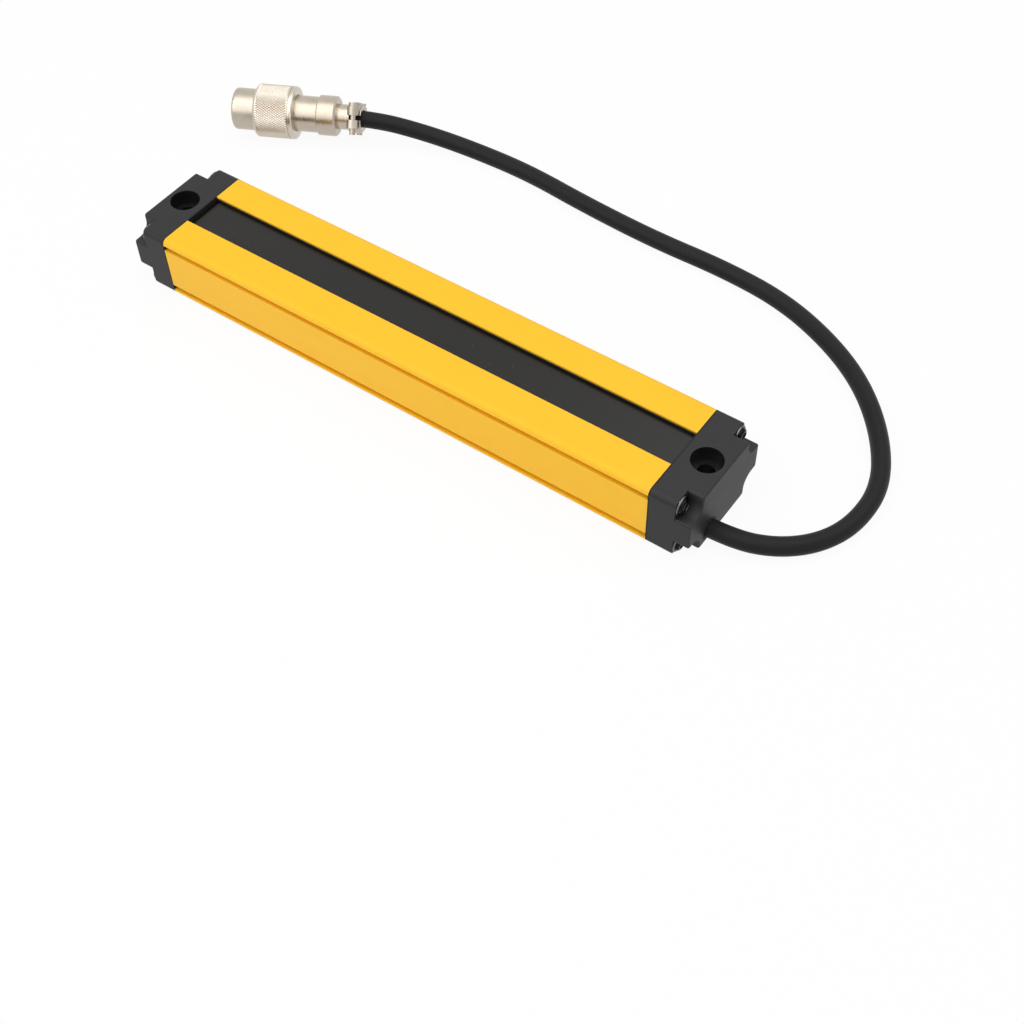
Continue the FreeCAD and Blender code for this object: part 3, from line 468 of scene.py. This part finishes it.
# %% Copies in the caps
screw_places = ((-1, SCREW_LEVELS[0]), (1, SCREW_LEVELS[0]),
                (1, SCREW_LEVELS[1]), (-1, SCREW_LEVELS[1]))
soft_screws = []
for node_name, end in (("plain_cap_screws", -1.0), ("cable_cap_screws", 1.0)):
    group = []
    for index, (side, level) in enumerate(screw_places):
        screw = bpy.data.objects.new("screw", pattern_screw.data.copy())
        bpy.context.scene.collection.objects.link(screw)
        seat = Vector((end * SLAB_END, side * SCREW_SIDE, level)) * MM
        fitted = Matrix.Rotation(math.radians(17.0 * index + 8.0), 4, "Z")
        screw.matrix_world = Matrix.Translation(seat) @ pointing((end, 0.0, 0.0)) @ fitted
        group.append(screw)
    only(group[0])
    for screw in group:
        screw.select_set(True)
    settle()
    bpy.ops.object.join()
    stand_in(group[0], node_name)
    soft_screws.append(group[0])
bpy.data.objects.remove(pattern_screw)

# %% [markdown]
# ## Shader maths as Python
# A finish is mostly arithmetic on patterns. Wrapping a socket in a small class lets that
# arithmetic be written as ordinary expressions, and each operator adds its own Math node.

# %% Numbers
class Number:
    """A socket that carries one number, with Python's operators."""

    def __init__(self, finish, socket):
        self.finish = finish
        self.socket = socket

    def combine(self, operation, first, second):
        node = self.finish.node("ShaderNodeMath", {"operation": operation}, {0: first, 1: second})
        return Number(self.finish, node.outputs[0])

    def __add__(self, other):
        return self.combine("ADD", self, other)

    def __radd__(self, other):
        return self.combine("ADD", other, self)

    def __sub__(self, other):
        return self.combine("SUBTRACT", self, other)

    def __rsub__(self, other):
        return self.combine("SUBTRACT", other, self)

    def __mul__(self, other):
        return self.combine("MULTIPLY", self, other)

    def __rmul__(self, other):
        return self.combine("MULTIPLY", other, self)

    def __gt__(self, other):
        return self.combine("GREATER_THAN", self, other)

    def __pow__(self, other):
        return self.combine("POWER", self, other)

    def size(self):
        """The number without its sign."""
        return self.combine("ABSOLUTE", self, 0.0)


# %% Finishes
class Finish:
    """A material: one Principled shader and the patterns that feed it."""

    def __init__(self, name, **settings):
        self.material = bpy.data.materials.new(name)
        self.material.use_nodes = True
        self.tree = self.material.node_tree
        self.shader = self.tree.nodes["Principled BSDF"]
        self.feed(self.shader, settings)
        self.place = self.node("ShaderNodeTexCoord").outputs["Object"]

    def feed(self, node, inputs):
        for name, value in inputs.items():
            socket = node.inputs[name.replace("_", " ") if isinstance(name, str) else name]
            source = value.socket if isinstance(value, Number) else value
            if isinstance(source, bpy.types.NodeSocket):
                self.tree.links.new(source, socket)
            else:
                socket.default_value = source

    def node(self, kind, settings=None, inputs=None):
        """Any node: its settings come first, then the values or links of its sockets."""
        made = self.tree.nodes.new(kind)
        for name, value in (settings or {}).items():
            setattr(made, name, value)
        self.feed(made, inputs or {})
        return made

    def noise(self, size_mm, detail=2.0, stretch=(1.0, 1.0, 1.0)):
        """Cloudy noise with features about that large."""
        place = self.node("ShaderNodeMapping", None, {"Vector": self.place, "Scale": stretch})
        noise = self.node("ShaderNodeTexNoise", {"noise_dimensions": "3D"},
                          {"Vector": place.outputs[0], "Scale": 1.0 / (size_mm * MM),
                           "Detail": detail})
        return Number(self, noise.outputs["Fac"])

    def specks(self, spacing_mm, share):
        """1 on small round specks, one in each cell of a random lattice, 0 between them."""
        cells = self.node("ShaderNodeTexVoronoi", {"feature": "F1"},
                          {"Vector": self.place, "Scale": 1.0 / (spacing_mm * MM)})
        return Number(self, cells.outputs["Distance"]) * -1.0 > -share

    def blend(self, factor, colour_a, colour_b):
        """A colour between two others."""
        mix = self.node("ShaderNodeMix", {"data_type": "RGBA"},
                        {0: factor, 6: (*colour_a, 1.0), 7: (*colour_b, 1.0)})
        return mix.outputs[2]

    def bump(self, height, depth_mm, strength=1.0):
        """Feeds the shader's Normal with relief of that depth."""
        relief = self.node("ShaderNodeBump", None,
                           {"Height": height, "Distance": depth_mm * MM, "Strength": strength})
        self.feed(self.shader, {"Normal": relief.outputs[0]})


# %% Putting finishes on
def coat(finish, piece):
    """Gives a finish to one object."""
    piece.data.materials.clear()
    piece.data.materials.append(finish.material)


def dress(finish, *names):
    """Gives a finish to CAD nodes by name."""
    for name in names:
        coat(finish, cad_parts[name])


# %% [markdown]
# ## The yellow bar
# The bar is extruded aluminium with a satin signal-yellow coating. Such a coating has a
# very fine grain, a slightly uneven gloss, and faint draw lines along the extrusion under
# it. The grain is noise of a quarter of a millimetre, and the draw lines are the same noise
# stretched a hundredfold along X.

# %% Yellow coating
yellow = Finish("yellow_coat", Specular_IOR_Level=0.24)
grain = yellow.noise(0.25, 3.0)
clouds = yellow.noise(9.0, 2.0)
draw_lines = yellow.noise(0.6, 1.0, (0.01, 1.0, 1.0))
yellow.feed(yellow.shader, {
    "Base_Color": yellow.blend(clouds, (0.965, 0.53, 0.018), (0.985, 0.555, 0.024)),
    "Roughness": grain * 0.10 + draw_lines * 0.06 + 0.36,
})
yellow.bump(grain * 0.7 + draw_lines * 0.3, 0.012, 0.5)
dress(yellow, "housing_profile")

# %% [markdown]
# ## The optical window
# The window is acrylic dyed so dark that only infrared passes. It shows as a smooth black
# strip whose gloss picks up the room, with a few specks of dust on it.

# %% Dark window
window = Finish("window_acrylic", Specular_IOR_Level=0.28)
window_clouds = window.noise(6.0, 3.0)
dust = window.specks(4.5, 0.03)
window.feed(window.shader, {
    "Base_Color": window.blend(dust, (0.010, 0.009, 0.008), (0.09, 0.085, 0.08)),
    "Roughness": window_clouds * 0.08 + dust * 0.3 + 0.22,
})
window.bump(window.noise(0.4, 2.0), 0.004, 0.4)
dress(window, "front_window")

# %% [markdown]
# ## The end caps
# The caps are moulded in black glass-filled nylon. The mould's spark-eroded surface leaves
# an even, very fine sand texture, which makes the black look grey wherever light grazes it.

# %% Moulded caps
cap_nylon = Finish("cap_nylon", Specular_IOR_Level=0.30)
sand = cap_nylon.noise(0.18, 3.0)
flow = cap_nylon.noise(5.0, 2.0)
cap_nylon.feed(cap_nylon.shader, {
    "Base_Color": cap_nylon.blend(flow, (0.0105, 0.0105, 0.011), (0.017, 0.017, 0.018)),
    "Roughness": sand * 0.16 + flow * 0.08 + 0.40,
})
cap_nylon.bump(sand, 0.02, 0.6)
dress(cap_nylon, "plain_end_cap", "cable_end_cap")
for cap in soft_caps:
    coat(cap_nylon, cap)

# %% [markdown]
# ## The mounting holes
# Each cap takes a screw down through a counterbored hole. Smooth core pins leave the walls
# without the faces' sand texture. The walls are also painted a darker black than the faces,
# as painted shade inside the hole. So the faces inside the bore get a second material slot,
# chosen by distance from the hole's axis.

# %% Bores of the mounting holes
bore_painted_shade = Finish("bore_painted_shade", Specular_IOR_Level=0.4)
bore_rings = bore_painted_shade.node("ShaderNodeTexWave", {"bands_direction": "Z"},
                             {"Vector": bore_painted_shade.place, "Scale": 0.35 / MM})
bore_wear = bore_painted_shade.noise(0.8, 2.0)
ring_mark = Number(bore_painted_shade, bore_rings.outputs["Fac"])
# Both colours are darker than the caps' nylon: painted shade inside the hole.
bore_painted_shade.feed(bore_painted_shade.shader, {
    "Base_Color": bore_painted_shade.blend(bore_wear, (0.006, 0.006, 0.006), (0.010, 0.010, 0.010)),
    "Roughness": bore_wear * 0.12 + ring_mark * 0.1 + 0.24,
})
bore_painted_shade.bump(ring_mark, 0.02, 0.5)
for cap in soft_caps:
    cap.data.materials.append(bore_painted_shade.material)
    inside = 0
    for face in cap.data.polygons:
        middle = face.center / MM
        in_bore = math.hypot(abs(middle.x) - HOLE_X, middle.y) < BORE_RADIUS + 0.02
        if in_bore and 0.3 < middle.z < HEIGHT - 0.15:
            face.material_index = 1
            inside += 1
    print(cap.name, "faces in the bore", inside)

# %% [markdown]
# ## Rubber, cable jacket and black screws
# Rubber seals are dull and almost featureless. The cable's jacket is smoother, with a fine
# grain and cloudy colour. The screws are steel with a black oxide, which is still a metal:
# dark. Their rims are painted lighter, a painted highlight that stands in for the glints on
# their edges. The rims are found by their distance from the screw's axis: the eight screws sit
# in mirrored places, so the size of Y, and of Z from the bar's middle, gives one distance for all.

# %% Rubber
rubber = Finish("seal_rubber", Specular_IOR_Level=0.3)
rubber_grain = rubber.noise(0.3, 2.0)
rubber.feed(rubber.shader, {
    "Base_Color": rubber.blend(rubber_grain, (0.004, 0.004, 0.004), (0.009, 0.009, 0.009)),
    "Roughness": rubber_grain * 0.2 + 0.6,
})
rubber.bump(rubber_grain, 0.01, 0.5)
dress(rubber, "window_seal_rear", "window_seal_front", "plain_cap_gasket",
      "cable_cap_gasket", "cable_grommet")

# %% Cable jacket
jacket = Finish("cable_jacket", Specular_IOR_Level=0.16)
jacket_grain = jacket.noise(0.35, 2.0)
jacket_clouds = jacket.noise(12.0, 2.0)
jacket.feed(jacket.shader, {
    "Base_Color": jacket.blend(jacket_clouds, (0.0065, 0.0065, 0.007), (0.011, 0.011, 0.012)),
    "Roughness": jacket_grain * 0.14 + jacket_clouds * 0.1 + 0.36,
})
jacket.bump(jacket_grain, 0.012, 0.4)
coat(jacket, cable)

# %% Black oxide
black_oxide = Finish("black_oxide", Metallic=1.0)
oxide_wear_and_glint = black_oxide.noise(0.5, 3.0)
directions = black_oxide.node("ShaderNodeSeparateXYZ", None, {"Vector": black_oxide.place})
across, upward = [Number(black_oxide, directions.outputs[axis]) for axis in "YZ"]
beside = across.size() - SCREW_SIDE * MM
above = (upward - HEIGHT / 2 * MM).size() - (HEIGHT / 2 - SCREW_LOW) * MM
from_screw = (beside * beside + above * above) ** 0.5 * (1 / MM)
# The flange's rim and the socket's rim are painted lighter: a painted highlight standing in for
# glints on their edges.
flange_rim = from_screw > 2.6
socket_rim = (from_screw > 1.15) * (1.5 - from_screw > 0.0)
painted_rim_highlight = (flange_rim + socket_rim) * (oxide_wear_and_glint * 0.6 + 0.5)
black_oxide.feed(black_oxide.shader, {
    "Base_Color": black_oxide.blend(painted_rim_highlight, (0.012, 0.012, 0.0125), (0.18, 0.175, 0.17)),
    "Roughness": oxide_wear_and_glint * 0.14 + 0.14,
})
black_oxide.bump(oxide_wear_and_glint, 0.006, 0.4)
dress(black_oxide, "plain_cap_screws", "cable_cap_screws")
for screws in soft_screws:
    coat(black_oxide, screws)

# %% [markdown]
# ## The plug's metal
# The plug is turned brass with a satin nickel plate. Turning leaves fine rings about the
# axis. They come from noise that is squeezed along the plug's axis: the Mapping node turns
# the pattern to that axis first, because the plug doesn't lie along X.
# The smooth shells mirror the lamps straight back, so their plate is a little darker than
# the knurled nut's, which keeps their highlights from clipping to white.

# %% Nickel plate
def nickel_plate(name, dark, light):
    """Satin nickel, turned about the plug's axis, between two colours."""
    nickel = Finish(name, Metallic=1.0)
    along_plug = nickel.node("ShaderNodeMapping", None, {
        "Vector": nickel.place, "Rotation": (0.0, 0.0, -PLUG_TURN)})
    squeezed = nickel.node("ShaderNodeMapping", None, {
        "Vector": along_plug.outputs[0], "Scale": (1.0, 0.04, 0.04)})
    rings = nickel.node("ShaderNodeTexNoise", None, {
        "Vector": squeezed.outputs[0], "Scale": 1.0 / (0.12 * MM), "Detail": 1.0})
    turning = Number(nickel, rings.outputs["Fac"])
    tarnish = nickel.noise(3.0, 3.0)
    nickel.feed(nickel.shader, {
        "Base_Color": nickel.blend(tarnish, dark, light),
        "Roughness": turning * 0.08 + tarnish * 0.10 + 0.20,
    })
    nickel.bump(turning, 0.004, 0.5)
    return nickel


nut_nickel = nickel_plate("nut_nickel", (0.53, 0.475, 0.40), (0.63, 0.575, 0.50))
dress(nut_nickel, "coupling_nut")
coat(nut_nickel, nut)
dress(nickel_plate("shell_nickel", (0.44, 0.385, 0.31), (0.54, 0.48, 0.40)),
      "plug_shell", "back_shell")

# %% Pressed clamp
# The loose half of the clamp and its screws are plain pressed and rolled steel. Their plate
# is painted darker than the shells', as painted shade round the clamp's ears and in its gaps.
clamp_painted_shade = Finish("clamp_painted_shade", Metallic=1.0)
plate_wear = clamp_painted_shade.noise(0.7, 3.0)
clamp_painted_shade.feed(clamp_painted_shade.shader, {
    "Base_Color": clamp_painted_shade.blend(plate_wear, (0.30, 0.26, 0.21), (0.52, 0.47, 0.39)),
    "Roughness": plate_wear * 0.18 + 0.18,
})
clamp_painted_shade.bump(plate_wear, 0.01, 0.4)
dress(clamp_painted_shade, "clamp_bar", "clamp_screws")

# %% [markdown]
# ## The hidden pieces
# Nothing of the electronics shows, but every piece gets the finish of the real one: solder
# mask on the board, dull epoxy on the chips, clear lenses, gold on the contacts.

# %% Electronics
def moulded(name, dark, light, grain_mm, roughness, **settings):
    """A plain moulded finish: two close colours in a grain, with a matching relief."""
    finish = Finish(name, **settings)
    pattern = finish.noise(grain_mm, 2.0)
    finish.feed(finish.shader, {
        "Base_Color": finish.blend(pattern, dark, light),
        "Roughness": pattern * 0.12 + roughness,
    })
    finish.bump(pattern, 0.01, 0.4)
    return finish


beams = [str(number) for number in range(1, 9)]
dress(moulded("solder_mask", (0.010, 0.09, 0.03), (0.016, 0.13, 0.045), 2.0, 0.3), "circuit_board")
dress(moulded("carrier_black", (0.008, 0.008, 0.008), (0.014, 0.014, 0.014), 0.3, 0.55),
      "lens_carrier")
dress(moulded("chip_epoxy", (0.010, 0.010, 0.011), (0.020, 0.020, 0.021), 0.2, 0.5),
      "controller_chip", "beam_driver_chip_1", "beam_driver_chip_2", "voltage_regulator",
      "output_transistor_1", "output_transistor_2")
dress(moulded("tantalum_case", (0.45, 0.27, 0.07), (0.55, 0.34, 0.10), 0.4, 0.4),
      "storage_capacitor")
dress(moulded("terminal_nylon", (0.62, 0.60, 0.54), (0.72, 0.70, 0.64), 0.5, 0.45),
      "wire_terminal")
dress(moulded("green_lamp", (0.05, 0.42, 0.10), (0.08, 0.52, 0.14), 0.3, 0.2), "power_lamp")
dress(moulded("red_lamp", (0.50, 0.03, 0.02), (0.62, 0.05, 0.03), 0.3, 0.2), "signal_lamp")
dress(moulded("lens_acrylic", (0.88, 0.90, 0.91), (0.92, 0.94, 0.95), 3.0, 0.04,
              Transmission_Weight=1.0, IOR=1.49), *["lens_" + beam for beam in beams])
dress(moulded("diode_epoxy", (0.02, 0.008, 0.03), (0.03, 0.012, 0.045), 0.5, 0.12),
      *["infrared_diode_" + beam for beam in beams])
dress(moulded("insert_black", (0.010, 0.010, 0.010), (0.018, 0.018, 0.018), 0.3, 0.45),
      "plug_insert")
dress(moulded("contact_gold", (0.75, 0.50, 0.15), (0.85, 0.60, 0.22), 0.3, 0.22, Metallic=1.0),
      *["contact_socket_" + pin for pin in "1234"])

# %% Cores of the cable
core_colours = {
    "brown_core": ((0.10, 0.035, 0.012), (0.14, 0.05, 0.02)),
    "white_core": ((0.70, 0.70, 0.68), (0.80, 0.80, 0.78)),
    "blue_core": ((0.010, 0.05, 0.32), (0.015, 0.07, 0.42)),
    "black_core": ((0.008, 0.008, 0.008), (0.014, 0.014, 0.014)),
}
for core, (dark, light) in core_colours.items():
    dress(moulded(core + "_jacket", dark, light, 0.4, 0.4), core)
print("Finishes made", len(bpy.data.materials))

# %% [markdown]
# ## The floor and the light
# The floor is pale and matt. To the camera it is nearly white, with only a trace of the
# object's shadow, and Light Path does that: the camera and the metal see mostly a white
# glow, while the light that really falls on the floor bounces back up onto the object. The
# room works the same way: white to look at, much dimmer as a light.

# %% Floor
bpy.ops.object.select_all(action="DESELECT")
bpy.ops.mesh.primitive_plane_add(size=1.6, location=(0.0, 0.0, 0.0))
floor = bpy.context.object
floor.name = "floor"
paper = Finish("studio_floor", Base_Color=(0.88, 0.88, 0.88, 1.0), Roughness=0.9)
rays = paper.node("ShaderNodeLightPath")
seen = Number(paper, rays.outputs["Is Camera Ray"])
mirrored = Number(paper, rays.outputs["Is Glossy Ray"])
through = Number(paper, rays.outputs["Is Transmission Ray"])
white = paper.node("ShaderNodeEmission", None, {"Color": (1.0, 1.0, 1.0, 1.0), "Strength": 1.0})
surface = paper.node("ShaderNodeMixShader", None, {
    0: (seen + mirrored + through) * 0.93,
    1: paper.shader.outputs[0], 2: white.outputs[0]})
paper.feed(paper.tree.nodes["Material Output"], {"Surface": surface.outputs[0]})
floor.data.materials.append(paper.material)

# %% World
world = bpy.data.worlds.new("studio")
bpy.context.scene.world = world
world.use_nodes = True
sky = world.node_tree
ambient = sky.nodes["Background"]
backdrop = sky.nodes.new("ShaderNodeBackground")
for glow, strength in ((ambient, 0.38), (backdrop, 1.0)):
    glow.inputs["Color"].default_value = (1.0, 1.0, 1.0, 1.0)
    glow.inputs["Strength"].default_value = strength

sky_rays = sky.nodes.new("ShaderNodeLightPath")
shown = sky_rays.outputs["Is Camera Ray"]
for kind in ("Is Glossy Ray", "Is Transmission Ray"):
    either = sky.nodes.new("ShaderNodeMath")
    either.operation = "ADD"
    either.use_clamp = True
    sky.links.new(shown, either.inputs[0])
    sky.links.new(sky_rays.outputs[kind], either.inputs[1])
    shown = either.outputs[0]
choice = sky.nodes.new("ShaderNodeMixShader")
for socket, source in zip(choice.inputs, (shown, ambient.outputs[0], backdrop.outputs[0])):
    sky.links.new(source, socket)
sky.links.new(choice.outputs[0], sky.nodes["World Output"].inputs["Surface"])
print("Nodes of the world", len(sky.nodes))

# %% [markdown]
# ## The lamps
# A wide softbox overhead lights the bar's top and a smaller one its front, so the edge
# between them reads. Two small lamps add sharp glints on the screws. The strengths are
# low enough that colours render about as they are written.

# %% Lamps
def softbox(name, place, aim_at, width, height, power):
    """A rectangular area lamp that looks at a point."""
    lamp = bpy.data.lights.new(name, "AREA")
    lamp.shape = "RECTANGLE"
    lamp.size = width
    lamp.size_y = height
    lamp.energy = power
    holder = bpy.data.objects.new(name, lamp)
    bpy.context.scene.collection.objects.link(holder)
    direction = Vector(aim_at) - Vector(place)
    holder.matrix_world = (Matrix.Translation(place)
                           @ direction.to_track_quat("-Z", "Y").to_matrix().to_4x4())
    print(name, "power", power, "W")


softbox("top_softbox", (0.1, 0.0, 1.0), (0.0, 0.02, 0.0), 1.6, 1.25, 8.8)
softbox("front_softbox", (-0.35, -0.8, 0.6), (0.0, 0.0, 0.0), 1.0, 0.7, 2.7)
softbox("upper_spark", (-0.5, -0.3, 0.9), (0.0, 0.0, 0.0), 0.06, 0.06, 0.45)
softbox("side_spark", (1.0, -0.1, 0.22), (0.1, 0.0, 0.0), 0.08, 0.08, 0.25)

# %% Colour management
bpy.context.scene.view_settings.view_transform = "Standard"

# %% [markdown]
# ## The plug's pieces
# The plug's pieces are on the cable's end. Here they are gathered in one list: the lathed
# nut and the CAD nodes. The finishing pieces may not make the object larger.

# %% The plug's pieces
plug_nodes = ["plug_shell", "plug_insert", "back_shell", "clamp_bar", "clamp_screws",
              "coupling_nut"]
plug_nodes += ["contact_socket_" + pin for pin in "1234"]
[nut] + [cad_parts[name] for name in plug_nodes]
